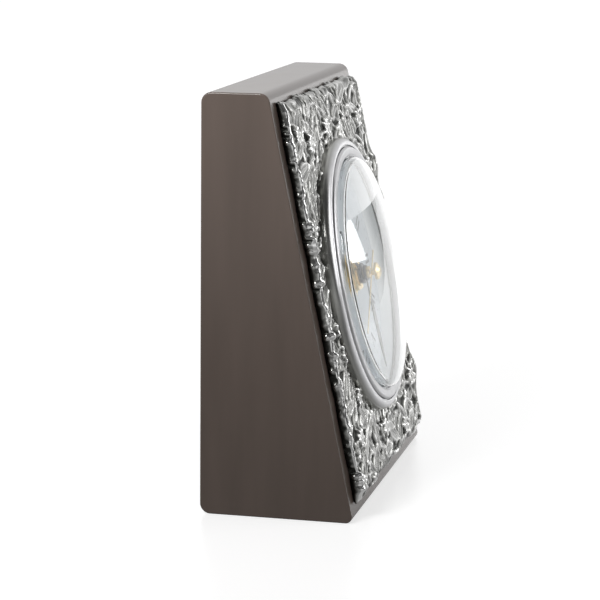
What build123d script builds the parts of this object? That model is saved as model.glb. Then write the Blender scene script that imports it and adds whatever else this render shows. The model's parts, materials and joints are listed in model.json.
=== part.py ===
from build123d import *
import os
from math import asin, cos, hypot, radians, sin, tan

# Wedge table clock: a lacquered block case whose front leans back, a silver relief plate on that
# front, and a round domed clock head with a quartz movement. Millimetres, +Z up, front towards -Y.
# The origin is the middle of the base. Head and movement are drawn on the sloping face: x to the
# right, y up the slope, z out of the face from the clock's axis.

# Case block
case_height = 132.0
case_width = 116.0
case_base_depth = 49.0
face_tilt = 12.0
case_edge_round = 3.3
case_toe_round = 2.0
case_side_round = 0.5
head_rise = 69.0
pocket_room = 4.0
pocket_corner = 6.0
bore_overlap = 1.0

# Fits
slip_fit = 0.2
close_fit = 0.1
running_fit = 0.06
cut_margin = 2.0

# Relief plate on its backing board
backing_width = 100.0
backing_height = 121.5
backing_thickness = 0.8
backing_corner = 2.0
relief_drop = 0.6
relief_overhang = 1.0
relief_sheet = 1.8
scallop_pitch = 15.0
scallop_rise = 0.7
relief_leaf_length = 25.0
relief_leaf_width = 9.5
relief_leaf_edge = 0.4
relief_leaf_ridge = 2.0
relief_leaf_lean = 24.0
relief_column_pitch = 13.0
relief_row_pitch = 15.0

# Bezel, glass and dial rings
bezel_radius = 45.0
bezel_height = 6.1
bezel_round = 2.4
bezel_lip = 0.6
bezel_land = 2.8
groove_width = 0.4
groove_depth = 0.7
ledge_rise = 2.8
ring_width = 3.4
ring_foot_step = 0.6
ring_lip = 0.7
ring_round = 1.0
glass_radius = 40.6
glass_rim = 1.6
glass_thickness = 1.8
glass_rise = 6.7
gasket_width = 2.0
gasket_thickness = 0.8
gasket_seat = 0.7
spacer_flare = 0.8
spacer_wall = 1.2
dial_thickness = 0.6

# Mounting cup that carries dial and movement, gripped in the case by a rubber sleeve
cup_radius = 42.5
cup_wall = 0.9
cup_skirt = 7.0
cup_web = 0.8
cup_flange = 0.8
sleeve_thickness = 0.5
sleeve_length = 5.0
sleeve_set_back = 1.0

# Centre fixing: bush, nut and washers
bush_radius = 4.0
bush_flange_radius = 5.4
bush_flange = 0.7
bush_stand = 3.0
rubber_washer_radius = 9.0
rubber_washer_thickness = 0.6
washer_radius = 7.0
washer_thickness = 0.4
nut_across_flats = 10.0
nut_thickness = 2.2

# Concentric shafts
second_shaft_radius = 0.6
minute_tube_wall = 0.8
hour_tube_wall = 0.75

# Hands, angles clockwise from twelve
hour_hand_angle = 314.0
minute_hand_angle = 172.0
second_hand_angle = 234.0
hour_hand_length = 24.0
hour_hand_width = 4.2
minute_hand_length = 33.0
minute_hand_width = 3.4
second_hand_length = 28.0
second_hand_width = 0.7
second_tail_length = 10.0
hand_thickness = 0.3
hand_hub_wall = 1.1
hand_hub_height = 0.9
hand_gap = 0.35
hand_nut_radius = 2.0
hand_nut_height = 0.9
cap_radius = 2.8
cap_height = 1.6
cap_stem = 1.4

# Movement housing
battery_radius = 7.25
battery_body_length = 49.2
battery_nub_length = 1.3
battery_nub_radius = 2.75
battery_edge = 0.4
contact_reach = 1.55
contact_sheet = 0.4
contact_width = 8.0
contact_dimple_radius = 2.5
housing_wall = 1.2
housing_corner = 4.0
train_room_height = 37.5
train_room_below_axis = 10.7
cover_thickness = 1.2
cover_lip = 0.6
bridge_thickness = 0.8
bridge_margin = 1.5
post_radius = 1.5
side_post_drop = 7.5
thumb_notch_radius = 8.0

# Gear train: tooth counts, distances between axes and directions from the centre axis
pinion_teeth = 8
third_teeth = 60
centre_teeth = 64
second_teeth = 48
intermediate_teeth = 40
cannon_teeth = 10
motion_teeth = 30
hour_teeth = 32
third_distance = 10.0
rotor_distance = 7.2
third_direction = 20.0
intermediate_direction = 120.0
rotor_direction = 130.0
motion_direction = 180.0
arbor_radius = 0.5
knob_arbor_radius = 1.0
train_gap = 0.35
wheel_thickness = 0.8
pinion_overhang = 0.2
layer_gap = 0.45
clutch_thickness = 0.4
clutch_radius = 2.6
# Tooth corners as (share of the pitch, height above the pitch circle in modules)
pinion_corners = ((0.40, -1.1), (0.40, 0.0), (0.16, 0.8))
wheel_corners = ((0.56, -1.1), (0.18, 0.8))
knurl_corners = ((0.75, -0.35), (0.35, 0.35))

# Motor, circuit and knob
magnet_radius = 3.0
magnet_thickness = 1.8
stator_gap = 0.5
stator_ring_width = 1.3
stator_sheet = 0.8
stator_arm_width = 3.0
coil_centre_up = 22.5
coil_length = 17.5
coil_radius = 3.4
bobbin_tube_radius = 2.2
bobbin_flange = 0.6
bobbin_flange_step = 0.3
core_width = 3.0
board_width = 13.5
board_height = 12.5
board_thickness = 1.0
board_stand = 3.8
board_post_inset = 2.0
chip_radius = 2.5
chip_height = 0.8
crystal_radius = 1.0
crystal_length = 6.0
knob_radius = 6.0
knob_height = 4.0
knob_stand_off = 0.5
knob_flutes = 24

# Stations along the head's axis, measured out of the case's face
backing_top = backing_thickness
flange_top = backing_top + cup_flange
bezel_top = backing_top + bezel_height
ledge_top = flange_top + ledge_rise
gasket_top = ledge_top + gasket_thickness
rim_top = gasket_top + glass_rim
lip_under = rim_top + close_fit
ring_top = lip_under + ring_lip
glass_apex = rim_top + glass_rise
washer_top = dial_thickness + washer_thickness
nut_top = washer_top + nut_thickness
bush_top = dial_thickness + bush_stand
movement_front = -(cup_web + rubber_washer_thickness)

# Radii that follow from the rings
groove_outer = bezel_radius - bezel_land
ring_radius = groove_outer - groove_width
ring_bore = ring_radius - ring_width
ring_seat = ring_radius - ring_foot_step
bezel_bore = glass_radius - gasket_seat
flange_radius = bezel_radius - bezel_lip - close_fit
cup_bore = cup_radius - cup_wall
dial_radius = cup_bore - slip_fit
case_bore = cup_radius + sleeve_thickness + running_fit
bush_hole = bush_radius + slip_fit

# Concentric tubes, from the second shaft outwards
minute_bore = second_shaft_radius + running_fit
minute_tube = minute_bore + minute_tube_wall
hour_bore = minute_tube + running_fit
hour_tube = hour_bore + hour_tube_wall
bush_bore = hour_tube + running_fit

# Stations of the hands
hour_hub_low = max(bush_top, nut_top) + hand_gap
hour_hub_top = hour_hub_low + hand_hub_height
minute_hub_low = hour_hub_top + hand_gap
minute_hub_top = minute_hub_low + hand_hub_height
hand_nut_top = minute_hub_top + hand_nut_height
second_hub_low = hand_nut_top + hand_gap
cap_low = second_hub_low + cap_stem
cap_top = cap_low + cap_height

# Depths of the gear layers behind the movement's front face
hour_layer = housing_wall + bush_flange + layer_gap
motion_layer = hour_layer + wheel_thickness + layer_gap + pinion_overhang
clutch_layer = motion_layer + wheel_thickness + pinion_overhang
centre_layer = clutch_layer + clutch_thickness + close_fit
third_layer = centre_layer + wheel_thickness + 2 * layer_gap
second_layer = third_layer + wheel_thickness + 2 * layer_gap
intermediate_layer = second_layer + wheel_thickness + 2 * layer_gap
bridge_layer = intermediate_layer + wheel_thickness + 2 * layer_gap
cover_layer = bridge_layer + bridge_thickness + cover_lip + close_fit
cover_back = cover_layer + cover_thickness
stator_layer = second_layer - wheel_thickness

# Gear sizes: each pair's module follows from its axis distance
second_module = 2 * third_distance / (pinion_teeth + third_teeth)
centre_module = 2 * third_distance / (pinion_teeth + centre_teeth)
tip_height = wheel_corners[-1][1]
centre_tip = centre_module * (centre_teeth / 2 + tip_height)
intermediate_distance = centre_tip + arbor_radius + train_gap
intermediate_module = 2 * intermediate_distance / (pinion_teeth + second_teeth)
second_tip = intermediate_module * (second_teeth / 2 + tip_height)
motion_distance = max(centre_tip, second_tip) + knob_arbor_radius + train_gap
motion_module = 2 * motion_distance / (cannon_teeth + motion_teeth)
hour_module = 2 * motion_distance / (pinion_teeth + hour_teeth)
rotor_module = 2 * rotor_distance / (pinion_teeth + intermediate_teeth)

# Housing outline, from the battery and the train room
bay_length = battery_body_length + battery_nub_length + 2 * contact_reach
bay_height = 2 * (battery_radius + slip_fit)
housing_width = bay_length + 2 * housing_wall
room_top = train_room_height - train_room_below_axis
room_bottom = -train_room_below_axis
bay_top = room_bottom - housing_wall
bay_bottom = bay_top - bay_height
housing_top = room_top + housing_wall
housing_bottom = bay_bottom - housing_wall
battery_up = (bay_top + bay_bottom) / 2
battery_depth = housing_wall + battery_radius + close_fit

tilt = radians(face_tilt)
face_plane = Plane(
    origin=(0, head_rise * sin(tilt) - case_base_depth / 2, head_rise * cos(tilt)),
    x_dir=(1, 0, 0),
    z_dir=(0, -cos(tilt), sin(tilt)),
)


def polar(distance, degrees):
    """A point at a distance and direction from the centre axis."""
    return Vector(distance * cos(radians(degrees)), distance * sin(radians(degrees)))


third_axis = polar(third_distance, third_direction)
intermediate_axis = polar(intermediate_distance, intermediate_direction)
rotor_axis = intermediate_axis + polar(rotor_distance, rotor_direction)
motion_axis = polar(motion_distance, motion_direction)


def behind(depth):
    """Height on the head's axis of a depth behind the movement's front face."""
    return movement_front - depth


def slab(sketch, low, high):
    """A sketch extruded between two heights on the head's axis."""
    return Pos(0, 0, low) * extrude(sketch, high - low)


def ring(outer, inner, low, high):
    return slab(Circle(outer) - Circle(inner), low, high)


def disc(radius, low, high):
    return slab(Circle(radius), low, high)


def turned(points, rounds=()):
    """A section of (radius, height) points turned about the head's axis, with rounded corners."""
    section = make_face(Polyline(*points, close=True))
    for corner, radius in rounds:
        nearest = section.vertices().sort_by_distance((corner[0], corner[1], 0))[0]
        section = fillet(nearest, radius)
    return revolve(Plane.XZ * section, Axis.Z)


def tooth_outline(teeth, module, corners, phase):
    """A closed outline of straight-sided teeth, with one tooth's middle at the phase angle."""
    step = 360 / teeth
    tooth = [(-share, rise) for share, rise in corners]
    tooth += [(share, rise) for share, rise in reversed(corners)]
    points = []
    for index in range(teeth):
        for share, rise in tooth:
            points.append(
                polar(module * (teeth / 2 + rise), phase + step * (index + share / 2))
            )
    return make_face(Polyline(*points, close=True))


def pinion(teeth, module, facing, low_depth, high_depth, bore=0.0):
    """A pinion with a tooth towards its wheel."""
    outline = tooth_outline(teeth, module, pinion_corners, facing)
    if bore:
        outline -= Circle(bore)
    return slab(outline, behind(high_depth), behind(low_depth))


def wheel(teeth, module, facing, layer, bore=0.0):
    """A wheel with a gap between teeth towards its pinion."""
    outline = tooth_outline(teeth, module, wheel_corners, facing + 180 / teeth)
    if bore:
        outline -= Circle(bore)
    return slab(outline, behind(layer + wheel_thickness), behind(layer))


def arbor(radius, rear_depth):
    """A shaft from its blind hole in the front housing back to a depth."""
    return disc(radius, behind(rear_depth), behind(housing_wall / 2))


def case_body():
    """The wedge block with its front bore and the pocket for the movement behind it."""
    half_base = case_base_depth / 2
    top_front = case_height * tan(tilt) - half_base
    corners = ((half_base, 0), (half_base, case_height), (top_front, case_height), (-half_base, 0))
    section = make_face(Polyline(*corners, close=True))
    toe = section.vertices().sort_by_distance((-half_base, 0, 0))[0]
    section = fillet(toe, case_toe_round)
    for corner in corners[:3]:
        nearest = section.vertices().sort_by_distance((corner[0], corner[1], 0))[0]
        section = fillet(nearest, case_edge_round)
    block = extrude(Plane.YZ * section, case_width / 2, both=True)
    sides = block.faces().sort_by(Axis.X)
    block = fillet(sides[0].edges() + sides[-1].edges(), case_side_round)
    bore_depth = cup_skirt + bore_overlap
    bore = face_plane * disc(case_bore, -bore_depth, cut_margin)
    return block - bore - movement_pocket()


def movement_pocket():
    """The room cut from the upright back, reaching forward into the front bore."""
    corners = [
        face_plane.from_local_coords((0, up, behind(depth)))
        for up in (housing_top, housing_bottom)
        for depth in (0, cover_back)
    ]
    top = max(corner.Z for corner in corners) + pocket_room
    bottom = min(corner.Z for corner in corners) - pocket_room
    outline = RectangleRounded(housing_width + 2 * pocket_room, top - bottom, pocket_corner)
    back = Plane(origin=(0, case_base_depth / 2 + cut_margin, (top + bottom) / 2), z_dir=(0, -1, 0))
    prism = extrude(back * outline, case_base_depth + 2 * cut_margin)
    floor = face_plane.offset(-cup_skirt)
    return split(prism, bisect_by=floor, keep=Keep.BOTTOM)


def relief_backing():
    board = Pos(0, -relief_drop) * RectangleRounded(backing_width, backing_height, backing_corner)
    return slab(board - Circle(cup_radius + slip_fit), 0, backing_top)


def scalloped_edge(start, end):
    """Shallow arcs that bulge outwards from one corner to the next."""
    along = end - start
    bulge = Vector(along.Y, -along.X) * (scallop_rise / along.length)
    count = round(along.length / scallop_pitch)
    knots = [start + along * (index / count) for index in range(count + 1)]
    return [
        ThreePointArc(first, (first + last) / 2 + bulge, last)
        for first, last in zip(knots, knots[1:])
    ]


def relief_leaf():
    """A pointed leaf with a raised midrib, rooted in the sheet."""
    sheet_top = backing_top + relief_sheet
    foot = sheet_top - relief_sheet / 2
    ridge = sheet_top + relief_leaf_ridge
    edge = sheet_top + relief_leaf_edge
    half_width = relief_leaf_width / 2
    half_length = relief_leaf_length / 2
    roof = Polyline(
        (-half_width, foot), (half_width, foot), (half_width, edge), (0, ridge), (-half_width, edge),
        close=True,
    )
    prism = extrude(Plane.XZ * make_face(roof), half_length, both=True)
    return prism & slab(leaf(half_length, relief_leaf_width, -half_length), foot, ridge)


def relief_leaves(half_width, half_height):
    """Rows of leaves up the sheet, leaning to alternate sides, wherever they clear the head."""
    rows = round(2 * half_height / relief_row_pitch)
    columns = round(2 * half_width / relief_column_pitch)
    blade = relief_leaf()
    leaves = []
    for row in range(rows + 1):
        side = 1 if row % 2 else -1
        up = (row - rows / 2) * relief_row_pitch - relief_drop
        for column in range(columns + 1):
            across = (column - columns / 2 + side / 4) * relief_column_pitch
            if hypot(across, up) > bezel_radius - relief_leaf_length / 4:
                leaves.append(Pos(across, up) * Rot(0, 0, side * relief_leaf_lean) * blade)
    return leaves


def relief_plate():
    """The silver sheet: raised leaves, a scalloped outline and a hole for the head."""
    half_width = backing_width / 2 + relief_overhang
    half_height = backing_height / 2 + relief_overhang
    corners = [
        Vector(half_width * across, half_height * up - relief_drop)
        for across, up in ((-1, -1), (1, -1), (1, 1), (-1, 1))
    ]
    arcs = []
    for index, corner in enumerate(corners):
        arcs += scalloped_edge(corner, corners[(index + 1) % 4])
    outline = make_face(arcs) - Circle(bezel_radius + slip_fit)
    sheet = slab(outline, backing_top, backing_top + relief_sheet)
    trim = slab(outline, backing_top, backing_top + relief_sheet + 2 * relief_leaf_ridge)
    crown = Part() + relief_leaves(half_width, half_height)
    return sheet + (crown & trim)


def bezel_ring():
    """The outer bright ring, resting on the backing and holding down the cup's flange."""
    shoulder = min(bezel_round, bezel_land - groove_width)
    points = (
        (bezel_radius, backing_top),
        (bezel_radius, bezel_top),
        (groove_outer, bezel_top),
        (groove_outer, bezel_top - groove_depth),
        (ring_seat, bezel_top - groove_depth),
        (ring_seat, ledge_top),
        (bezel_bore, ledge_top),
        (bezel_bore, flange_top),
        (bezel_radius - bezel_lip, flange_top),
        (bezel_radius - bezel_lip, backing_top),
    )
    return turned(points, ((points[1], shoulder), (points[2], groove_width / 2)))


def glass_ring():
    """The inner bright ring whose lip holds the glass down."""
    foot = ring_seat - running_fit
    wall = glass_radius + slip_fit
    step = bezel_top - groove_depth + close_fit
    points = (
        (wall, ledge_top),
        (foot, ledge_top),
        (foot, step),
        (ring_radius, step),
        (ring_radius, ring_top),
        (ring_bore + ring_lip, ring_top),
        (ring_bore, lip_under + ring_lip / 4),
        (ring_bore, lip_under),
        (wall, lip_under),
    )
    return turned(points, ((points[4], ring_round), (points[5], ring_round / 2)))


def cap_arc(radius, foot, apex):
    """A spherical cap's section from its apex down to its foot circle."""
    rise = apex - foot
    sphere = (radius**2 + rise**2) / (2 * rise)
    half = asin(radius / sphere) / 2
    middle = (sphere * sin(half), apex - sphere * (1 - cos(half)))
    return ThreePointArc((0, apex), middle, (radius, foot))


def glass_dome():
    """The domed glass with its flat rim."""
    dome_radius = ring_bore - slip_fit
    inner_radius = dome_radius - glass_thickness / 2
    outside = cap_arc(dome_radius, rim_top, glass_apex)
    inside = cap_arc(inner_radius, gasket_top, glass_apex - glass_thickness)
    rim = Polyline(
        (dome_radius, rim_top),
        (glass_radius, rim_top),
        (glass_radius, gasket_top),
        (inner_radius, gasket_top),
    )
    middle = Line((0, glass_apex - glass_thickness), (0, glass_apex))
    section = make_face([outside, *rim.edges(), inside, middle])
    return revolve(Plane.XZ * section, Axis.Z)


def glass_gasket():
    return ring(glass_radius, glass_radius - gasket_width, ledge_top, gasket_top)


def dial_spacer():
    """The sloping inner ring between dial and glass."""
    neck = bezel_bore - slip_fit
    top = ledge_top - close_fit
    foot_top = flange_top - close_fit
    points = (
        (dial_radius, dial_thickness),
        (dial_radius, foot_top),
        (neck, foot_top),
        (neck, top),
        (neck - spacer_wall, top),
        (neck - spacer_wall - spacer_flare, dial_thickness),
    )
    return turned(points)


def dial():
    return ring(dial_radius, bush_hole, 0, dial_thickness)


def mounting_cup():
    """Flange under the bezel, skirt in the bore, and a web that carries dial and movement."""
    points = (
        (bush_hole, 0),
        (bush_hole, -cup_web),
        (cup_bore, -cup_web),
        (cup_bore, -cup_skirt),
        (cup_radius, -cup_skirt),
        (cup_radius, backing_top),
        (flange_radius, backing_top),
        (flange_radius, flange_top),
        (cup_bore, flange_top),
        (cup_bore, 0),
    )
    return turned(points)


def friction_sleeve():
    return ring(
        cup_radius + sleeve_thickness,
        cup_radius,
        -sleeve_set_back - sleeve_length,
        -sleeve_set_back,
    )


def centre_bush():
    """The flanged brass bush that clamps the movement and guides the hour tube."""
    points = (
        (bush_bore, behind(housing_wall + bush_flange)),
        (bush_flange_radius, behind(housing_wall + bush_flange)),
        (bush_flange_radius, behind(housing_wall)),
        (bush_radius, behind(housing_wall)),
        (bush_radius, bush_top),
        (bush_bore, bush_top),
    )
    return turned(points)


def rubber_washer():
    return ring(rubber_washer_radius, bush_hole, movement_front, -cup_web)


def fixing_washer():
    return ring(washer_radius, bush_radius + close_fit, dial_thickness, washer_top)


def fixing_nut():
    outline = RegularPolygon(nut_across_flats / 2, 6, major_radius=False)
    return slab(outline - Circle(bush_radius + running_fit), washer_top, nut_top)


def leaf(length, width, root):
    """A pointed leaf blade from its root to its tip."""
    middle = (root + length) / 2
    right = ThreePointArc((0, root), (width / 2, middle), (0, length))
    left = ThreePointArc((0, length), (-width / 2, middle), (0, root))
    return make_face([right, left])


def leaf_hand(length, width, bore, hub_low, angle):
    """A hand with a leaf blade, a slim stem and a collar that grips its tube."""
    hub = bore + hand_hub_wall
    stem_length = length / 4 + hand_hub_wall
    stem = Pos(0, bore + stem_length / 2) * Rectangle(width / 3, stem_length)
    outline = leaf(length, width, hub) + stem + Circle(hub) - Circle(bore)
    blade = slab(outline, hub_low, hub_low + hand_thickness)
    collar = ring(hub, bore, hub_low, hub_low + hand_hub_height)
    return Rot(0, 0, -angle) * (blade + collar)


def hour_hand():
    return leaf_hand(
        hour_hand_length, hour_hand_width, hour_tube, hour_hub_low, hour_hand_angle
    )


def minute_hand():
    return leaf_hand(
        minute_hand_length, minute_hand_width, minute_tube, minute_hub_low, minute_hand_angle
    )


def hand_nut():
    return ring(hand_nut_radius, minute_tube, minute_hub_top, hand_nut_top)


def second_hand():
    """The slim second hand with its tail and its gilt cap."""
    hub = second_shaft_radius + hand_hub_wall / 2
    half = second_hand_width / 2
    points = (
        (-half, -second_tail_length),
        (half, -second_tail_length),
        (half / 2, second_hand_length),
        (-half / 2, second_hand_length),
    )
    outline = make_face(Polyline(*points, close=True)) + Circle(hub) - Circle(second_shaft_radius)
    blade = slab(outline, second_hub_low, second_hub_low + hand_thickness)
    socket = cap_low + cap_height / 2
    cap = turned(
        (
            (second_shaft_radius, second_hub_low),
            (hub, second_hub_low),
            (hub, cap_low),
            (cap_radius, cap_low),
            (cap_radius, cap_low + cap_height / 2),
            (cap_radius / 2, cap_top),
            (0, cap_top),
            (0, socket),
            (second_shaft_radius, socket),
        )
    )
    return Rot(0, 0, -second_hand_angle) * (blade + cap)


def second_wheel():
    """The second shaft with its pinion for the third wheel and its own wheel."""
    shaft = disc(
        second_shaft_radius,
        behind(bridge_layer + bridge_thickness),
        cap_low + cap_height / 2,
    )
    driver = pinion(
        pinion_teeth,
        second_module,
        third_direction,
        third_layer - pinion_overhang,
        third_layer + wheel_thickness + pinion_overhang,
    )
    gear = wheel(second_teeth, intermediate_module, intermediate_direction, second_layer)
    return shaft + driver + gear


def third_wheel():
    shaft = arbor(arbor_radius, bridge_layer + bridge_thickness)
    gear = wheel(third_teeth, second_module, third_direction + 180, third_layer)
    driver = pinion(
        pinion_teeth,
        centre_module,
        third_direction + 180,
        centre_layer - pinion_overhang,
        centre_layer + wheel_thickness + pinion_overhang,
    )
    return Pos(third_axis) * (shaft + gear + driver)


def centre_wheel():
    """The wheel that drives the hands through the friction clutch."""
    bore = minute_tube + running_fit
    return wheel(centre_teeth, centre_module, third_direction, centre_layer, bore)


def clutch_washer():
    return ring(
        clutch_radius,
        minute_tube + running_fit,
        behind(clutch_layer + clutch_thickness),
        behind(clutch_layer),
    )


def cannon_pinion():
    """The minute tube with its pinion and the collar that keeps the centre wheel on."""
    gear = pinion(
        cannon_teeth,
        motion_module,
        motion_direction,
        motion_layer - pinion_overhang,
        motion_layer + wheel_thickness + pinion_overhang,
        minute_bore,
    )
    collar_low = centre_layer + wheel_thickness + close_fit
    tube = ring(minute_tube, minute_bore, behind(collar_low + layer_gap / 2), hand_nut_top)
    collar = ring(
        minute_tube + minute_tube_wall,
        minute_bore,
        behind(collar_low + layer_gap / 2),
        behind(collar_low),
    )
    return gear + tube + collar


def hour_wheel():
    gear = wheel(hour_teeth, hour_module, motion_direction, hour_layer, hour_bore)
    tube = ring(hour_tube, hour_bore, behind(hour_layer + wheel_thickness), hour_hub_top)
    return gear + tube


def intermediate_wheel():
    shaft = arbor(arbor_radius, bridge_layer + bridge_thickness)
    gear = wheel(intermediate_teeth, rotor_module, rotor_direction, intermediate_layer)
    driver = pinion(
        pinion_teeth,
        intermediate_module,
        intermediate_direction + 180,
        second_layer - pinion_overhang,
        second_layer + wheel_thickness + pinion_overhang,
    )
    return Pos(intermediate_axis) * (shaft + gear + driver)


def rotor():
    shaft = arbor(arbor_radius, bridge_layer + bridge_thickness)
    driver = pinion(
        pinion_teeth,
        rotor_module,
        rotor_direction + 180,
        intermediate_layer - pinion_overhang,
        intermediate_layer + wheel_thickness + pinion_overhang,
    )
    return Pos(rotor_axis) * (shaft + driver)


def rotor_magnet():
    middle = behind(stator_layer + stator_sheet / 2)
    return Pos(rotor_axis) * ring(
        magnet_radius, arbor_radius, middle - magnet_thickness / 2, middle + magnet_thickness / 2
    )


def motion_wheel():
    """The setting arbor with the motion wheel and pinion that gear the hour wheel down."""
    shaft = arbor(knob_arbor_radius, cover_back + knob_stand_off + knob_height / 2)
    gear = wheel(motion_teeth, motion_module, motion_direction + 180, motion_layer)
    driver = pinion(
        pinion_teeth,
        hour_module,
        motion_direction + 180,
        hour_layer - pinion_overhang / 2,
        hour_layer + wheel_thickness + pinion_overhang / 2,
    )
    return Pos(motion_axis) * (shaft + gear + driver)


def set_knob():
    """The fluted knob behind the cover that turns the hands."""
    front = cover_back + knob_stand_off
    back = front + knob_height
    flutes = tooth_outline(knob_flutes, 2 * knob_radius / knob_flutes, knurl_corners, 0)
    body = slab(flutes, behind(back), behind(front))
    socket = disc(knob_arbor_radius, behind(front + knob_height / 2), behind(front))
    dish = disc(knob_radius / 2, behind(back), behind(back - knob_height / 4))
    return Pos(motion_axis) * (body - socket - dish)


def bridge_posts():
    """Places of the three posts that carry the train bridge."""
    right = housing_width / 2 - 2 * housing_wall - 2 * post_radius
    left_up = rotor_axis.Y - side_post_drop
    return (
        Vector(right, room_bottom + housing_wall + 2 * post_radius),
        Vector(-right, left_up),
        Vector(third_axis.X - 2 * post_radius, bridge_top() - bridge_margin - post_radius),
    )


def bridge_top():
    """Upper edge of the bridge, just below the coil."""
    return coil_centre_up - coil_radius - bobbin_flange_step - 2 * slip_fit


def board_centre():
    inset = housing_wall + slip_fit + 2 * close_fit
    return Vector(
        housing_width / 2 - inset - board_width / 2, housing_top - inset - board_height / 2
    )


def board_posts():
    across = board_width / 2 - board_post_inset
    up = board_height / 2 - board_post_inset
    return (board_centre() + Vector(-across, up), board_centre() + Vector(across, -up))


def coil_ends():
    """Centres of the stator's two feet, one beyond each end of the coil."""
    reach = coil_length / 2 + bobbin_flange + stator_arm_width / 2 + slip_fit
    return (
        Vector(rotor_axis.X - reach, coil_centre_up),
        Vector(rotor_axis.X + reach, coil_centre_up),
    )


def front_housing():
    """The moulded tray: train room, battery bay, posts, and holes for bush and pivots."""
    middle = (housing_top + housing_bottom) / 2
    outline = Pos(0, middle) * RectangleRounded(
        housing_width, housing_top - housing_bottom, housing_corner
    )
    tray = slab(outline, behind(cover_layer), movement_front)
    inner_corner = housing_corner - housing_wall
    room_width = housing_width - 2 * housing_wall
    room = Pos(0, (room_top + room_bottom) / 2) * RectangleRounded(
        room_width, train_room_height, inner_corner
    )
    bay = Pos(0, battery_up) * RectangleRounded(room_width, bay_height, inner_corner)
    tray -= slab(room + bay, behind(cover_layer + cut_margin), behind(housing_wall))
    notch = Pos(0, housing_bottom, behind(cover_layer)) * Rot(90, 0, 0) * Cylinder(
        thumb_notch_radius, 4 * housing_wall
    )
    tray -= notch
    for place in bridge_posts():
        tray += Pos(place) * disc(post_radius, behind(bridge_layer), behind(housing_wall))
    for place in board_posts():
        tray += Pos(place) * disc(post_radius, behind(housing_wall + board_stand), behind(housing_wall))
    for place in coil_ends():
        tray += Pos(place) * disc(post_radius, behind(stator_layer), behind(housing_wall))
    tray -= disc(bush_radius + running_fit, behind(2 * housing_wall), movement_front + cut_margin)
    for place in (third_axis, intermediate_axis, rotor_axis):
        tray -= Pos(place) * blind_hole(arbor_radius)
    tray -= Pos(motion_axis) * blind_hole(knob_arbor_radius)
    return tray


def blind_hole(shaft_radius):
    floor = housing_wall / 2 - close_fit
    return disc(shaft_radius + running_fit, behind(2 * housing_wall), behind(floor))


def train_bridge():
    """The plate that carries the rear pivots."""
    right = housing_width / 2 - 2 * housing_wall - bridge_margin
    low = room_bottom + housing_wall
    top = bridge_top()
    outline = Pos(0, (low + top) / 2) * RectangleRounded(2 * right, top - low, post_radius)
    outline -= Circle(second_shaft_radius + running_fit)
    for place in (third_axis, intermediate_axis, rotor_axis):
        outline -= Pos(place) * Circle(arbor_radius + running_fit)
    outline -= Pos(motion_axis) * Circle(knob_arbor_radius + running_fit)
    return slab(outline, behind(bridge_layer + bridge_thickness), behind(bridge_layer))


def rear_cover():
    """The cover over the train room, with a locating lip and the knob's hole."""
    height = housing_top - bay_top
    plate = Pos(0, (housing_top + bay_top) / 2) * RectangleRounded(
        housing_width, height, housing_corner
    )
    cover = slab(plate, behind(cover_back), behind(cover_layer))
    lip_width = housing_width - 2 * housing_wall - 2 * slip_fit
    lip_height = train_room_height - 2 * slip_fit
    corner = housing_corner - housing_wall
    lip = RectangleRounded(lip_width, lip_height, corner) - RectangleRounded(
        lip_width - 2 * housing_wall, lip_height - 2 * housing_wall, corner / 2
    )
    middle = Pos(0, (room_top + room_bottom) / 2)
    cover += slab(middle * lip, behind(cover_layer), behind(cover_layer - cover_lip))
    hole = disc(knob_arbor_radius + running_fit, behind(cover_back + cut_margin), behind(bridge_layer))
    return cover - Pos(motion_axis) * hole


def stator():
    """The soft-iron sheet round the rotor, with an arm to each end of the coil."""
    bore = magnet_radius + stator_gap
    outline = Pos(rotor_axis) * Circle(bore + stator_ring_width)
    for foot in coil_ends():
        run = Vector((foot.X + rotor_axis.X) / 2, rotor_axis.Y)
        outline += Pos(run) * Rectangle(abs(foot.X - rotor_axis.X) + stator_arm_width, stator_arm_width)
        rise = Vector(foot.X, (foot.Y + rotor_axis.Y) / 2)
        outline += Pos(rise) * Rectangle(stator_arm_width, foot.Y - rotor_axis.Y + stator_arm_width)
    outline -= Pos(rotor_axis) * Circle(bore)
    return slab(outline, behind(stator_layer + stator_sheet), behind(stator_layer))


def coil_core():
    left, right = coil_ends()
    bar = Pos((left + right) / 2) * Rectangle(right.X - left.X + stator_arm_width, core_width)
    low = behind(stator_layer + 2 * stator_sheet)
    return slab(bar, low, behind(stator_layer + stator_sheet))


def coil_place():
    """The coil's axis lies along x at the core's middle."""
    left, right = coil_ends()
    middle = (left + right) / 2
    return Pos(middle.X, middle.Y, behind(stator_layer + 1.5 * stator_sheet)) * Rot(0, 90, 0)


def coil_bobbin():
    """The moulded former with a flange at each end and a slot for the core."""
    half = coil_length / 2
    body = disc(bobbin_tube_radius, -half - bobbin_flange, half + bobbin_flange)
    flange = disc(coil_radius + bobbin_flange_step, half, half + bobbin_flange)
    body += flange + Pos(0, 0, -2 * half - bobbin_flange) * flange
    slot = Box(
        stator_sheet + close_fit, core_width + 2 * close_fit, coil_length + 4 * bobbin_flange
    )
    return coil_place() * (body - slot)


def coil_winding():
    half = coil_length / 2
    return coil_place() * ring(coil_radius, bobbin_tube_radius, -half, half)


def circuit_board():
    low = behind(housing_wall + board_stand + board_thickness)
    corner = housing_corner - housing_wall
    board = Pos(board_centre()) * RectangleRounded(board_width, board_height, corner)
    return slab(board, low, behind(housing_wall + board_stand))


def driver_chip():
    top = behind(housing_wall + board_stand + board_thickness)
    place = board_centre() + Vector(board_width / 4, board_height / 4)
    return Pos(place) * disc(chip_radius, top - chip_height, top)


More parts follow.
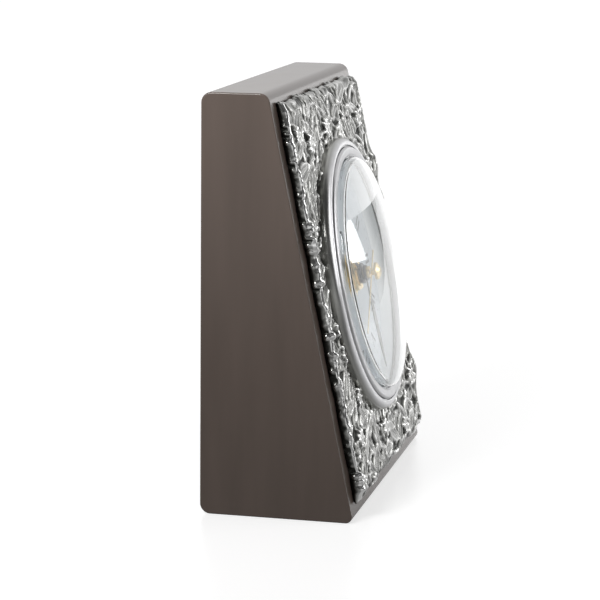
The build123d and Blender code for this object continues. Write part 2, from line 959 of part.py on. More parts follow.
def quartz_crystal():
    """The crystal's can, lying on the board."""
    top = behind(housing_wall + board_stand + board_thickness)
    place = board_centre() - Vector(0, board_height / 4)
    can = Rot(0, 90, 0) * disc(crystal_radius, -crystal_length / 2, crystal_length / 2)
    return Pos(place.X, place.Y, top - crystal_radius) * can


def battery():
    """A plain round cell along x with its button at the right."""
    whole = battery_body_length + battery_nub_length
    shoulder = battery_body_length - whole / 2
    cell = disc(battery_radius, -whole / 2, shoulder)
    cell = chamfer(cell.edges().filter_by(GeomType.CIRCLE), battery_edge)
    cell += disc(battery_nub_radius, shoulder - slip_fit, whole / 2)
    return Pos(0, battery_up, behind(battery_depth)) * Rot(0, 90, 0) * cell


def contact(side):
    """A sprung strip at one end of the battery bay, dimpled towards the cell."""
    reach = contact_reach - close_fit
    strip = Box(contact_width, contact_width, contact_sheet)
    strip += Pos(0, 0, contact_sheet / 2) * Cone(
        contact_dimple_radius,
        contact_dimple_radius / 2,
        reach - contact_sheet,
        align=(Align.CENTER, Align.CENTER, Align.MIN),
    )
    wall = side * (bay_length - contact_sheet) / 2
    return Pos(wall, battery_up, behind(battery_depth)) * Rot(0, -side * 90, 0) * strip


def battery_contact_plus():
    return contact(1)


def battery_contact_minus():
    return contact(-1)


block_pieces = (case_body,)
face_pieces = (
    relief_backing, relief_plate,
    bezel_ring, glass_ring, glass_dome, glass_gasket, dial_spacer, dial,
    mounting_cup, friction_sleeve,
    centre_bush, rubber_washer, fixing_washer, fixing_nut,
    hour_hand, minute_hand, hand_nut, second_hand,
    hour_wheel, cannon_pinion, clutch_washer, centre_wheel, third_wheel, second_wheel,
    intermediate_wheel, rotor, rotor_magnet, motion_wheel, set_knob,
    front_housing, rear_cover, train_bridge,
    stator, coil_core, coil_bobbin, coil_winding,
    circuit_board, driver_chip, quartz_crystal,
    battery, battery_contact_plus, battery_contact_minus,
)

os.makedirs("parts", exist_ok=True)
for piece in block_pieces:
    export_step(piece(), f"parts/{piece.__name__}.step")
for piece in face_pieces:
    export_step(face_plane * piece(), f"parts/{piece.__name__}.step")
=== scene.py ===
import json
from math import asin, cos, pi, radians, sin

import bmesh
import bpy
import numpy as np
from mathutils import Matrix, Vector


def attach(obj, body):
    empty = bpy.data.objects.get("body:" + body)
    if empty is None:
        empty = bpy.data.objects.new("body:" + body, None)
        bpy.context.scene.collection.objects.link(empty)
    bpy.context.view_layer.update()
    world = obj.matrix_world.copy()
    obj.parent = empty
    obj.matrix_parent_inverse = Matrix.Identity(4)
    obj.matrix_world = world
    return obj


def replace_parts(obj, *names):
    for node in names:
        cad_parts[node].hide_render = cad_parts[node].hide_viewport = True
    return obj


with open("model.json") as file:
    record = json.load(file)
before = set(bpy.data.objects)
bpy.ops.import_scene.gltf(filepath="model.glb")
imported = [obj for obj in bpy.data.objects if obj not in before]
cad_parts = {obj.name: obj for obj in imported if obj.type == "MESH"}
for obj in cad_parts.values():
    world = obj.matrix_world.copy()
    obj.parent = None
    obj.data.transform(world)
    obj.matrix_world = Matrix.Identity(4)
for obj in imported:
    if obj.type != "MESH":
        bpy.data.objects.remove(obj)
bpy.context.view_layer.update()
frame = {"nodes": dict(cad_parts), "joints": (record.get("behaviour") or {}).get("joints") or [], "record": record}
nodes = frame["nodes"]
mm = 0.001

# The sloping face: the hands' axis gives its origin and its outward direction
hand_joint = next(j for j in frame["joints"] if j["name"] == "minute_hand_turn")
face_origin = np.array(hand_joint["pos_m"])
face_out = -np.array(hand_joint["axis"])
face_across = np.array((1.0, 0.0, 0.0))
face_up = np.cross(face_out, face_across)
face_axes = np.array((face_across, face_up, face_out))

# Camera: place in metres, turns in degrees, lens in millimetres
camera_place = Vector((-0.7454, -0.1632, 0.2000))
camera_yaw = 77.196
camera_pitch = 10.491
camera_roll = 0.619
camera_lens = 141.2
camera_sensor = 36.0
camera_near = 0.01

# Silver relief: lengths in millimetres, angles in degrees
relief_seed = 11
relief_grid = 0.28
relief_base = 2.5
relief_top = 5.9
relief_tuck = 0.5
cover_least = 0.2
smooth_reach = 1
window_margin = 8

# Sides and ends of the relief
near_wall = 3.2
far_wall = 4.0
wall_width = 1.3
end_height = 0.7
end_reach = 2.6
knob_pitch = 27.0
knob_radius = 1.5
knob_stand = 0.4
swell_pitch = 31.0
swell_radius = 5.0
swell_rise = 1.6

# Outer edge of the relief, turned down over its board
edge_round = 0.7
edge_waves = ((0.34, 23.0), (0.16, 11.3))
edge_notch = 0.28
edge_notch_width = 1.7
edge_notch_pitch = 15.0
edge_follow = 4.0
edge_cover = 0.12
edge_levels = 8
# Darkness from just inside the rim is carried onto the turned-down wall as painted shade, and narrows its bulge
edge_inside = 2.2
edge_pattern = 0.8
edge_bulge = 0.6
bulge_most = 1.5
bulge_drop = 2.0

# Leaves
leaf_pitch = 6.4
leaf_scatter = 2.4
leaf_lengths = (9.0, 18.0)
leaf_widths = (3.2, 6.8)
leaf_leans = (10.0, 85.0)
leaf_rise = (0.15, 0.85)
leaf_start = 0.7
leaf_climb = 0.6
leaf_follow = 0.4
leaf_belly = 0.85
leaf_blunt = 0.9
leaf_least = 1e-6
leaf_rim = 0.55
leaf_rim_width = 0.42
leaf_rib = 0.50
leaf_rib_width = 0.48
leaf_rib_fade = 0.6

# Stems
strand_count = 190
strand_lengths = (8.0, 30.0)
strand_lean = 70.0
strand_bend = 140.0
strand_radius = 0.58
strand_step = 0.8
strand_taper = 0.5
strand_stand = 0.75

# Small flowers
floret_pitch = 17.0
floret_margin = 6.0
floret_scatter = 7.0
floret_radius = 2.6
floret_petals = 6
petal_place = 0.62
petal_length = 1.5
petal_width = 0.95
bead_radius = 0.95
bead_stand = 1.1

# Darkening of the relief, from 0 to 1: tarnish and painted shade in its sunken parts, a painted shade on its far
# side, painted shade towards the foot of its turned-down edge and a painted shadow line inside its sides; and the
# silver's tones along it
hollow_reach = 1.5
hollow_gain = 0.9
hollow_middle = 0.5
# Painted shade on the far side and towards the foot of the turned-down edge
far_shade = 0.3
edge_shade = 0.62
edge_fade = 1.5
# Place and width of a painted shadow line inside the sides
shade_line_inset = 1.5
shade_line_width = 0.6
relief_tones = (
    (0.0, (0.80, 0.80, 0.79)), (0.22, (0.47, 0.47, 0.46)),
    (0.46, (0.22, 0.22, 0.21)), (0.70, (0.038, 0.039, 0.036)),
)
relief_rough = (0.10, 0.46)
relief_grain = 0.10
relief_grain_scale = 700.0

# Domed glass, in millimetres and degrees
glass_rim = 1.6
glass_thick = 0.7
glass_side = 38.1
glass_shoulder = 36.5
glass_level = 9.7
glass_round = 1.6
glass_crease = 40.0
shoulder_steps = 8
dome_steps = 28
turn_steps = 180

# Painted reflection and shade on the bezel's outer wall, a darker band graded by heights above the face in
# millimetres
wall_shade_low = 4.2
wall_shade_high = 7.4
wall_shade_tones = ((0.0, (0.95, 0.95, 0.88)), (0.45, (0.60, 0.60, 0.57)), (0.75, (1.0, 1.0, 1.0)))

# Dial print, in millimetres
numeral_radius = 27.8
numeral_height = 5.4
numeral_thick = 0.90
numeral_thin = 0.40
numeral_gap = 0.55
letter_spread = 0.30
serif_reach = 0.35
serif_thick = 0.16
track_radius = 33.6
track_tick = 1.0
track_tick_thin = 0.22
track_tick_thick = 0.5
print_lift = 0.03
roman = ("XII", "I", "II", "III", "IIII", "V", "VI", "VII", "VIII", "IX", "X", "XI")

# Variation over a surface: the part of a noise that shows, and a finer grain, in millimetres
noise_low = 0.3
noise_high = 0.7
grain_finer = 8
grain_depth = 0.05

# Studio: places in metres, and the table's glow as seen directly, through glass and in reflections, where a
# painted shadow band darkens it just left of the object
sky_strength = 0.26
floor_radius = 5.0
floor_corners = 96
floor_span = 1.0
floor_colour = (0.40, 0.40, 0.40, 1.0)
floor_rough = 0.30
floor_specular = 0.25
floor_seen = 0.64
floor_through = 0.70
# Glow of the table in reflections, along X: a painted shadow band just left of the object
floor_mirror_glow_and_shadow = ((0.17, 0.7), (0.42, 0.0), (0.46, 0.0), (0.55, 0.76))
lamp_target = (0.0, 0.0, 0.06)
near_right = 0.565
far_right = 0.9
dim_outline = (
    (-0.364, 0.154), (-0.148, 0.095), (-0.152, 0.066), (-0.172, 0.050),
    (-0.205, 0.030), (-0.250, 0.014), (-0.300, 0.006),
)
bright_outline = ((-0.80, 0.267), (-0.430, 0.147), (-0.455, 0.069), (-0.80, 0.144))
upper_outline = ((-0.50, 0.190), (-0.148, 0.095), (-0.05, 0.068), (-0.05, 0.18), (-0.50, 0.25))


# Shader helpers

def shader(name):
    """A new material with its tree, its principled shader and its output."""
    material = bpy.data.materials.new(name)
    material.use_nodes = True
    tree = material.node_tree
    return material, tree, tree.nodes["Principled BSDF"], tree.nodes["Material Output"]


def object_noise(tree, scale, detail=4.0, stretch=(1.0, 1.0, 1.0)):
    """Noise fixed to the object, in object coordinates."""
    place = tree.nodes.new("ShaderNodeTexCoord")
    mapping = tree.nodes.new("ShaderNodeMapping")
    mapping.inputs["Scale"].default_value = stretch
    noise = tree.nodes.new("ShaderNodeTexNoise")
    noise.inputs["Scale"].default_value = scale
    noise.inputs["Detail"].default_value = detail
    tree.links.new(place.outputs["Object"], mapping.inputs["Vector"])
    tree.links.new(mapping.outputs["Vector"], noise.inputs["Vector"])
    return noise.outputs["Fac"]


def ramp(tree, source, stops):
    """Colours along a value: stops are (position, colour)."""
    node = tree.nodes.new("ShaderNodeValToRGB")
    elements = node.color_ramp.elements
    while len(elements) < len(stops):
        elements.new(0.5)
    for element, (position, colour) in zip(elements, stops):
        element.position = position
        element.color = (*colour, 1.0)
    tree.links.new(source, node.inputs["Fac"])
    return node.outputs["Color"]


def span(tree, source, low, high):
    """A value from 0 to 1 stretched to another range."""
    node = tree.nodes.new("ShaderNodeMapRange")
    node.inputs["To Min"].default_value = low
    node.inputs["To Max"].default_value = high
    tree.links.new(source, node.inputs["Value"])
    return node.outputs["Result"]


def bump(tree, target, source, strength):
    """A fine roughness of the surface, by a value over it."""
    node = tree.nodes.new("ShaderNodeBump")
    node.inputs["Strength"].default_value = strength
    node.inputs["Distance"].default_value = grain_depth * mm
    tree.links.new(source, node.inputs["Height"])
    tree.links.new(node.outputs["Normal"], target.inputs["Normal"])


def finish(name, dark, light, scale, rough, metallic=0.0, grain=0.0, coat=0.0, coat_rough=0.05,
           stretch=(1.0, 1.0, 1.0), specular=0.5):
    """A surface whose colour and gloss vary a little over it, with a fine grain."""
    material, tree, main, _ = shader(name)
    noise = object_noise(tree, scale, stretch=stretch)
    tree.links.new(ramp(tree, noise, ((noise_low, dark), (noise_high, light))), main.inputs["Base Color"])
    tree.links.new(span(tree, noise, *rough), main.inputs["Roughness"])
    main.inputs["Metallic"].default_value = metallic
    main.inputs["Coat Weight"].default_value = coat
    main.inputs["Coat Roughness"].default_value = coat_rough
    main.inputs["Specular IOR Level"].default_value = specular
    if grain:
        fine = object_noise(tree, scale * grain_finer, stretch=stretch)
        bump(tree, main, fine, grain)
    return material


def shaded_by_height(material, low, high, tones):
    """A material with a painted reflection and shade in its colour, graded between two heights above the sloping
    face, in millimetres.
    """
    tree = material.node_tree
    colour = tree.nodes["Principled BSDF"].inputs["Base Color"]
    place = tree.nodes.new("ShaderNodeTexCoord")
    above = tree.nodes.new("ShaderNodeVectorMath")
    above.operation = "DOT_PRODUCT"
    above.inputs[1].default_value = face_out
    grade = tree.nodes.new("ShaderNodeMapRange")
    level = face_origin @ face_out
    grade.inputs["From Min"].default_value = level + low * mm
    grade.inputs["From Max"].default_value = level + high * mm
    tree.links.new(place.outputs["Object"], above.inputs[0])
    tree.links.new(above.outputs["Value"], grade.inputs["Value"])
    blend = tree.nodes.new("ShaderNodeMix")
    blend.data_type = "RGBA"
    blend.blend_type = "MULTIPLY"
    blend.inputs["Factor"].default_value = 1.0
    first, second = [item for item in blend.inputs if item.type == "RGBA"]
    tree.links.new(colour.links[0].from_socket, first)
    tree.links.new(ramp(tree, grade.outputs["Result"], tones), second)
    result = next(item for item in blend.outputs if item.type == "RGBA")
    tree.links.new(result, colour)
    return material


def clear_glass():
    """Clear glass that lets light through to the dial without a dark shadow."""
    material, tree, main, output = shader("clear_glass")
    noise = object_noise(tree, 60.0)
    tint = ramp(
        tree, noise, ((noise_low, (0.980, 0.992, 0.992)), (noise_high, (0.990, 0.997, 0.997))),
    )
    tree.links.new(tint, main.inputs["Base Color"])
    main.inputs["Roughness"].default_value = 0.0
    main.inputs["IOR"].default_value = 1.5
    main.inputs["Transmission Weight"].default_value = 1.0
    light_path = tree.nodes.new("ShaderNodeLightPath")
    through = tree.nodes.new("ShaderNodeBsdfTransparent")
    through.inputs["Color"].default_value = (0.92, 0.94, 0.94, 1.0)
    soft = tree.nodes.new("ShaderNodeMath")
    soft.operation = "MAXIMUM"
    tree.links.new(light_path.outputs["Is Shadow Ray"], soft.inputs[0])
    tree.links.new(light_path.outputs["Is Diffuse Ray"], soft.inputs[1])
    mix = tree.nodes.new("ShaderNodeMixShader")
    tree.links.new(soft.outputs["Value"], mix.inputs["Fac"])
    tree.links.new(main.outputs["BSDF"], mix.inputs[1])
    tree.links.new(through.outputs["BSDF"], mix.inputs[2])
    tree.links.new(mix.outputs["Shader"], output.inputs["Surface"])
    return material


def relief_silver():
    """Polished silver darkened by tarnish and painted shade where it lies low, and by painted shade along its
    sides.
    """
    material, tree, main, _ = shader("relief_silver")
    # Darkness per point: tarnish and painted shade
    tarnish_and_shade = tree.nodes.new("ShaderNodeAttribute")
    tarnish_and_shade.attribute_name = "tarnish_and_shade"
    tree.links.new(ramp(tree, tarnish_and_shade.outputs["Fac"], relief_tones), main.inputs["Base Color"])
    tree.links.new(span(tree, tarnish_and_shade.outputs["Fac"], *relief_rough), main.inputs["Roughness"])
    main.inputs["Metallic"].default_value = 1.0
    bump(tree, main, object_noise(tree, relief_grain_scale), relief_grain)
    return material


# Mesh helpers

def on_face(points):
    """Points of (across, up, out) in millimetres, placed on the sloping face."""
    return face_origin + np.asarray(points, float) * mm @ face_axes


def piece(name, points, faces, material, body, smooth=False):
    """A mesh piece from face points in millimetres, riding on a body."""
    mesh = bpy.data.meshes.new(name)
    mesh.from_pydata([tuple(p) for p in on_face(points)], [], faces)
    mesh.materials.append(material)
    if smooth:
        mesh.shade_smooth()
    item = bpy.data.objects.new(name, mesh)
    bpy.context.scene.collection.objects.link(item)
    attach(item, body)
    return item


def face_extent(node):
    """Lowest and highest (across, up, out) of a CAD node, in millimetres."""
    points = np.array([vertex.co for vertex in nodes[node].data.vertices])
    local = (points - face_origin) @ face_axes.T / mm
    return local.min(0), local.max(0)


# Relief plate

def side_shade(across):
    """A plain shade for the far side, none for the near one."""
    return np.where(across > 0, far_shade, 0.0)


class Relief:
    """A height field over the plate, worked over by leaves, strands and florets."""

    def __init__(self, half_width, half_height, centre_up):
        self.random = np.random.default_rng(relief_seed)
        self.half_width = half_width
        self.half_height = half_height
        self.centre_up = centre_up
        columns = round(2 * half_width / relief_grid) + 1
        rows = round(2 * half_height / relief_grid) + 1
        flat_across = np.linspace(-half_width, half_width, columns)
        flat_up = np.linspace(-half_height, half_height, rows)
        across, up = np.meshgrid(flat_across, flat_up)
        self.side_margin = half_width - abs(across)
        self.end_margin = half_height - abs(up)
        self.across = across + np.sign(across) * self.edge(up) * self.pull(half_width - abs(across))
        self.up = up + np.sign(up) * self.edge(across) * self.pull(half_height - abs(up))
        self.height = np.zeros_like(across)

    def edge(self, along):
        """Uneven waves and a few notches along an edge."""
        wave = np.zeros_like(along)
        for size, pitch in edge_waves:
            wave += size * np.sin(2 * pi * along / pitch + self.random.uniform(0, 2 * pi))
        reach = abs(along).max()
        for place in np.arange(-reach, reach, edge_notch_pitch):
            shift = along - place - self.random.uniform(0, edge_notch_pitch)
            wave -= edge_notch * np.exp(-((shift / edge_notch_width) ** 2))
        return wave

    def pull(self, inside):
        """How far a point follows its edge, fading out inwards."""
        return np.clip(1 - inside / edge_follow, 0, 1) ** 2

    def window(self, across, up, reach):
        """The part of the grid around a place."""
        column = (across + self.half_width) / relief_grid
        row = (up + self.half_height) / relief_grid
        cells = reach / relief_grid + window_margin
        return tuple(
            slice(int(max(0, place - cells)), int(max(0, min(count, place + cells))))
            for place, count in zip((row, column), self.height.shape)
        )

    def leaf(self, across, up, angle, length, width, rise):
        """A pointed leaf with a raised rim and a midrib, laid over what is below."""
        area = self.window(across, up, length / 2)
        over, rising = self.across[area] - across, self.up[area] - up
        along = over * cos(angle) + rising * sin(angle)
        aside = abs(rising * cos(angle) - over * sin(angle))
        share = np.clip(along / length + 0.5, 0.0, 1.0)
        half = np.maximum(width / 2 * np.sin(pi * share ** leaf_belly) ** leaf_blunt, leaf_least)
        inside = (aside < half) & (share > 0) & (share < 1)
        if not inside.any():
            return
        gap = half - aside
        shape = rise * (leaf_start + leaf_climb * share)
        shape += leaf_rim * np.exp(-((gap - leaf_rim_width) / leaf_rim_width) ** 2)
        shape += leaf_rib * np.exp(-((aside / leaf_rib_width) ** 2)) * (1 - leaf_rib_fade * share)
        below = self.height[area]
        below[inside] = leaf_follow * below[inside].mean() + shape[inside]

    def strand(self, across, up, angle, length, bend):
        """A thin curling stem."""
        steps = int(length / (strand_radius * strand_step))
        for index in range(steps):
            angle += bend / steps
            across += cos(angle) * length / steps
            up += sin(angle) * length / steps
            taper = 1 - strand_taper * index / steps
            self.bead(across, up, strand_radius * taper, strand_stand)

    def bead(self, across, up, radius, stand):
        """A round head that stands clear of what is below."""
        area = self.window(across, up, radius)
        away = (self.across[area] - across) ** 2 + (self.up[area] - up) ** 2
        dome = np.sqrt(np.maximum(radius ** 2 - away, 0.0))
        self.height[area] = np.maximum(self.height[area], np.where(dome > 0, stand + dome, 0.0))

    def swell(self, across, up):
        """A broad low rise."""
        away = (self.across - across) ** 2 + (self.up - up) ** 2
        self.height += swell_rise * np.exp(-away / swell_radius ** 2)

    def floret(self, across, up, turn):
        """A small round flower with a beaded middle."""
        for index in range(floret_petals):
            angle = turn + 2 * pi * index / floret_petals
            reach = floret_radius * petal_place
            self.leaf(
                across + reach * cos(angle), up + reach * sin(angle), angle,
                floret_radius * petal_length, floret_radius * petal_width, leaf_rise[1],
            )
        self.bead(across, up, bead_radius, bead_stand)

    def grow(self):
        """Leaves leaning to both sides all over, then strands and florets between them."""
        draw = self.random.uniform
        places = [
            (across + draw(-leaf_scatter, leaf_scatter), up + draw(-leaf_scatter, leaf_scatter))
            for up in np.arange(-self.half_height, self.half_height + leaf_pitch, leaf_pitch)
            for across in np.arange(-self.half_width, self.half_width + leaf_pitch, leaf_pitch)
        ]
        self.random.shuffle(places)
        for across, up in places:
            lean = self.random.choice((-1, 1)) * draw(*leaf_leans)
            self.leaf(
                across, up, radians(90 + lean), draw(*leaf_lengths), draw(*leaf_widths), draw(*leaf_rise)
            )
        for _ in range(strand_count):
            self.strand(
                draw(-self.half_width, self.half_width), draw(-self.half_height, self.half_height),
                radians(90 + draw(-strand_lean, strand_lean)), draw(*strand_lengths),
                radians(draw(-strand_bend, strand_bend)),
            )
        for up in np.arange(-self.half_height + floret_margin, self.half_height, floret_pitch):
            for across in np.arange(-self.half_width + floret_margin, self.half_width, floret_pitch):
                self.floret(
                    across + draw(-floret_scatter, floret_scatter),
                    up + draw(-floret_scatter, floret_scatter),
                    draw(0, pi),
                )

    def raise_sides(self):
        """Smooth the field and raise both sides, with knobs on the near and swells on the far one."""
        draw = self.random.uniform
        self.height = self.blurred(self.height, smooth_reach)
        raised = np.where(self.across < 0, near_wall, far_wall) - relief_base
        self.height += self.beside() * np.maximum(raised - self.height, 0.0)
        for up in np.arange(-self.half_height, self.half_height, knob_pitch):
            self.bead(-self.half_width + knob_radius, up + draw(0, knob_pitch), knob_radius, knob_stand)
        for up in np.arange(-self.half_height, self.half_height, swell_pitch):
            self.swell(self.half_width, up + draw(0, swell_pitch))

    def blurred(self, values, reach):
        """Values averaged over their surroundings."""
        for axis in (0, 1, 0, 1):
            values = np.mean([np.roll(values, shift, axis) for shift in range(-reach, reach + 1)], axis=0)
        return values

    def beside(self):
        """How much each point belongs to one of the sides, from 0 to 1."""
        return np.exp(-((self.side_margin / wall_width) ** 2))

    def sunk(self):
        """How far each point lies below its surroundings, from 0 to 1, with the middle value where level."""
        around = self.blurred(self.height, round(hollow_reach / relief_grid))
        return np.clip(hollow_middle - hollow_gain * (self.height - around), 0.0, 1.0)

    def tarnish_and_shade_map(self):
        """How dark each point is: tarnish and painted shade by how low it lies, a painted shade on the far side
        and none on the near one, and a painted shadow line inside both sides.
        """
        beside = self.beside()
        # A painted shadow line a little inside each side
        shade_line = np.exp(-(((self.side_margin - shade_line_inset) / shade_line_width) ** 2))
        shade = self.sunk() * (1 - beside) + side_shade(self.across) * beside
        return np.maximum(shade, edge_shade * shade_line)

    def top(self, board_level):
        """Points of the plate's front, rounded down at its outer edge and clear of the board below."""
        drop = np.clip(edge_round - np.minimum(self.side_margin, self.end_margin), 0, edge_round)
        fall = edge_round - np.sqrt(np.maximum(edge_round ** 2 - drop ** 2, 0.0))
        settle = end_height + (1 - end_height) * np.clip(self.end_margin / end_reach, 0, 1)
        out = np.minimum(relief_base + self.height, relief_top) * settle - fall
        out = np.maximum(out, board_level + cover_least)
        return np.stack((self.across, self.up + self.centre_up, out), -1).reshape(-1, 3)

    def turned_down(self, points, rim, low, high):
        """Levels below the rim, bulging like the leaves inside it, and their painted shades: darker towards the
        foot, carrying the darkness from just inside the rim.
        """
        from_middle = points[rim, :2] - (0, self.centre_up)
        at_edge = np.stack((self.side_margin, self.end_margin), -1).reshape(-1, 2)[rim] == 0
        outward = at_edge * np.sign(from_middle)
        shortfall = np.maximum((high - low)[:2] / 2 + edge_cover - abs(from_middle), 0)
        rows, columns = self.height.shape
        row, column = np.unravel_index(rim, (rows, columns))
        inset = round(edge_inside / relief_grid)
        inside = np.clip(row, inset, rows - 1 - inset), np.clip(column, inset, columns - 1 - inset)
        pattern = edge_pattern * self.sunk()[inside]
        bulge = (edge_bulge * (bulge_most - bulge_drop * pattern))[:, None]
        levels, shades = [], []
        for step in range(1, edge_levels + 1):
            share = step / edge_levels
            level = points[rim].copy()
            level[:, :2] += outward * (bulge * sin(pi * share) + shortfall * min(2 * share, 1))
            level[:, 2] += (low[2] + edge_cover - level[:, 2]) * share
            levels.append(level)
            # Painted shade, darker towards the foot of the wall, over the darkness carried from just inside the
            # rim
            shade = pattern + edge_shade * share ** edge_fade
            shades.append(np.maximum(shade, side_shade(from_middle[:, 0])))
        return levels, shades

    def build(self, material):
        """The plate's mesh: its front, open for the clock head, and its edge turned down over its backing."""
        low, high = face_extent("relief_backing")
        hole = face_extent("bezel_ring")[1][0] - relief_tuck
        points = self.top(high[2])
        index = np.arange(self.height.size).reshape(self.height.shape)
        cells = np.stack((index[:-1, :-1], index[:-1, 1:], index[1:, 1:], index[1:, :-1]), -1)
        cells = cells.reshape(-1, 4)
        radius = np.hypot(points[:, 0], points[:, 1])
        cells = cells[(radius[cells] > hole).all(1)]
        rim = np.concatenate((index[0, :-1], index[:-1, -1], index[-1, :0:-1], index[:0:-1, 0]))
        count = len(rim)
        after = (np.arange(count) + 1) % count
        levels, shades = self.turned_down(points, rim, low, high)
        rings = [rim] + [len(points) + count * place + np.arange(count) for place in range(edge_levels)]
        strips = [np.stack((a, b, b[after], a[after]), -1) for a, b in zip(rings, rings[1:])]
        faces = np.concatenate((cells, *strips))
        points = np.concatenate((points, *levels))
        # Darkness of every point, tarnish and painted shade, for the silver's colour
        tarnish_and_shade = np.concatenate((self.tarnish_and_shade_map().reshape(-1), *shades))
        used = np.unique(faces)
        order = np.full(len(points), -1)
        order[used] = np.arange(len(used))
        plate = piece(
            "relief_leaves", points[used], order[faces].tolist(), material, "clock_case",
            smooth=True,
        )
        values = plate.data.attributes.new("tarnish_and_shade", "FLOAT", "POINT")
        values.data.foreach_set("value", tarnish_and_shade[used].astype(np.float32))
        return plate


# Glass

def dome(radius, edge, apex):
    """Points of a shallow dome from its edge up to its middle."""
    rise = apex - edge
    bend = (radius ** 2 + rise ** 2) / (2 * rise)
    reach = asin(radius / bend)
    turns = [reach * step / dome_steps for step in range(dome_steps, -1, -1)]
    return [(bend * sin(turn), apex - bend * (1 - cos(turn))) for turn in turns]


def domed_glass(material):
    """A glass shell with a flat rim under the ring, a steep side, a round shoulder and a shallow dome."""
    low, high = face_extent("glass_dome")
    rim_top = low[2] + glass_rim

    def shell(inset):
        """From the foot of the steep side, over the shoulder, to the middle."""
        bend = glass_round - inset
        level = glass_level - glass_round
        turns = np.linspace(0, pi / 2, shoulder_steps + 1)[:-1]
        shoulder = [(glass_shoulder + bend * cos(turn), level + bend * sin(turn)) for turn in turns]
        return shoulder + dome(glass_shoulder, glass_level - inset, high[2] - inset)

    profile = shell(glass_thick)[::-1] + [(glass_side - glass_thick, low[2]), (high[0], low[2])]
    profile += [(high[0], rim_top), (glass_side, rim_top)] + shell(0.0)
    points = [(0.0, 0.0, profile[0][1])]
    for radius, out in profile[1:-1]:
        for step in range(turn_steps):
            turn = 2 * pi * step / turn_steps
            points.append((radius * cos(turn), radius * sin(turn), out))
    points.append((0.0, 0.0, profile[-1][1]))
    faces = []
    for step in range(turn_steps):
        after = (step + 1) % turn_steps
        faces.append((0, 1 + step, 1 + after))
        for place in range(len(profile) - 3):
            start = 1 + place * turn_steps
            faces.append((start + step, start + turn_steps + step, start + turn_steps + after, start + after))
        start = 1 + (len(profile) - 3) * turn_steps
        faces.append((start + step, len(points) - 1, start + after))
    glass = piece("domed_glass", points, faces, material, "clock_case", smooth=True)
    shape = bmesh.new()
    shape.from_mesh(glass.data)
    bmesh.ops.recalc_face_normals(shape, faces=shape.faces)
    shape.to_mesh(glass.data)
    shape.free()
    glass.data.set_sharp_from_angle(angle=radians(glass_crease))
    return glass


# Dial print

def bar(start, end, start_width, end_width=None):
    """A straight stroke as four corners, with its ends cut level."""
    first, second = start_width / 2, (end_width or start_width) / 2
    return (
        (start[0] - first, start[1]), (start[0] + first, start[1]),
        (end[0] + second, end[1]), (end[0] - second, end[1]),
    )


def serif(across, up, width):
    """A short level line across the end of a stroke."""
    half = width / 2 + serif_reach
    return bar((across, up - serif_thick / 2), (across, up + serif_thick / 2), 2 * half)


def letter_strokes(letter):
    """Strokes of one Roman letter about its middle, and its width."""
    half = numeral_height / 2
    if letter == "I":
        strokes = [bar((0, -half), (0, half), numeral_thick)]
        strokes += [serif(0, half, numeral_thick), serif(0, -half, numeral_thick)]
        return strokes, numeral_thick + 2 * serif_reach
    wide = numeral_height * letter_spread
    if letter == "V":
        strokes = [bar((-wide, half), (0, -half), numeral_thick), bar((wide, half), (0, -half), numeral_thin)]
        strokes += [serif(-wide, half, numeral_thick), serif(wide, half, numeral_thin)]
        return strokes, 2 * wide + numeral_thick
    strokes = [
        bar((-wide, half), (wide, -half), numeral_thick), bar((wide, half), (-wide, -half), numeral_thin),
    ]
    strokes += [serif(side * wide, end * half, numeral_thin) for side in (-1, 1) for end in (-1, 1)]
    return strokes, 2 * wide + numeral_thick


def numeral_strokes(word):
    """Strokes of one numeral, centred."""
    letters = [letter_strokes(letter) for letter in word]
    whole = sum(width for _, width in letters) + numeral_gap * (len(word) - 1)
    place = -whole / 2
    strokes = []
    for parts, width in letters:
        shift = place + width / 2
        strokes += [[(x + shift, y) for x, y in part] for part in parts]
        place += width + numeral_gap
    return strokes


def dial_print(material):
    """Hour numerals and a minute track, printed just proud of the dial."""
    level = face_extent("dial")[1][2] + print_lift
    points, faces = [], []

    def lay(stroke, turn, radius):
        """A stroke turned clockwise from twelve and set out at a radius."""
        start = len(points)
        for x, y in stroke:
            y += radius
            points.append((x * cos(turn) + y * sin(turn), y * cos(turn) - x * sin(turn), level))
        faces.append(tuple(range(start, start + len(stroke))))

    for hour, word in enumerate(roman):
        for stroke in numeral_strokes(word):
            lay(stroke, hour * pi / 6, numeral_radius)
    for minute in range(60):
        width = track_tick_thin if minute % 5 else track_tick_thick
        lay(bar((0, 0), (0, track_tick), width), minute * pi / 30, track_radius)
    return piece("dial_print", points, faces, material, "clock_case")


# Materials of the CAD nodes

wood = finish(
    "lacquered_wood", (0.074, 0.056, 0.0465), (0.093, 0.0705, 0.0590), 90.0, (0.30, 0.36),
    grain=0.05, coat=0.42, coat_rough=0.18, stretch=(1.0, 1.0, 0.12), specular=0.2,
)
board = finish("black_board", (0.008, 0.008, 0.009), (0.014, 0.014, 0.015), 500.0, (0.35, 0.5), grain=0.3)
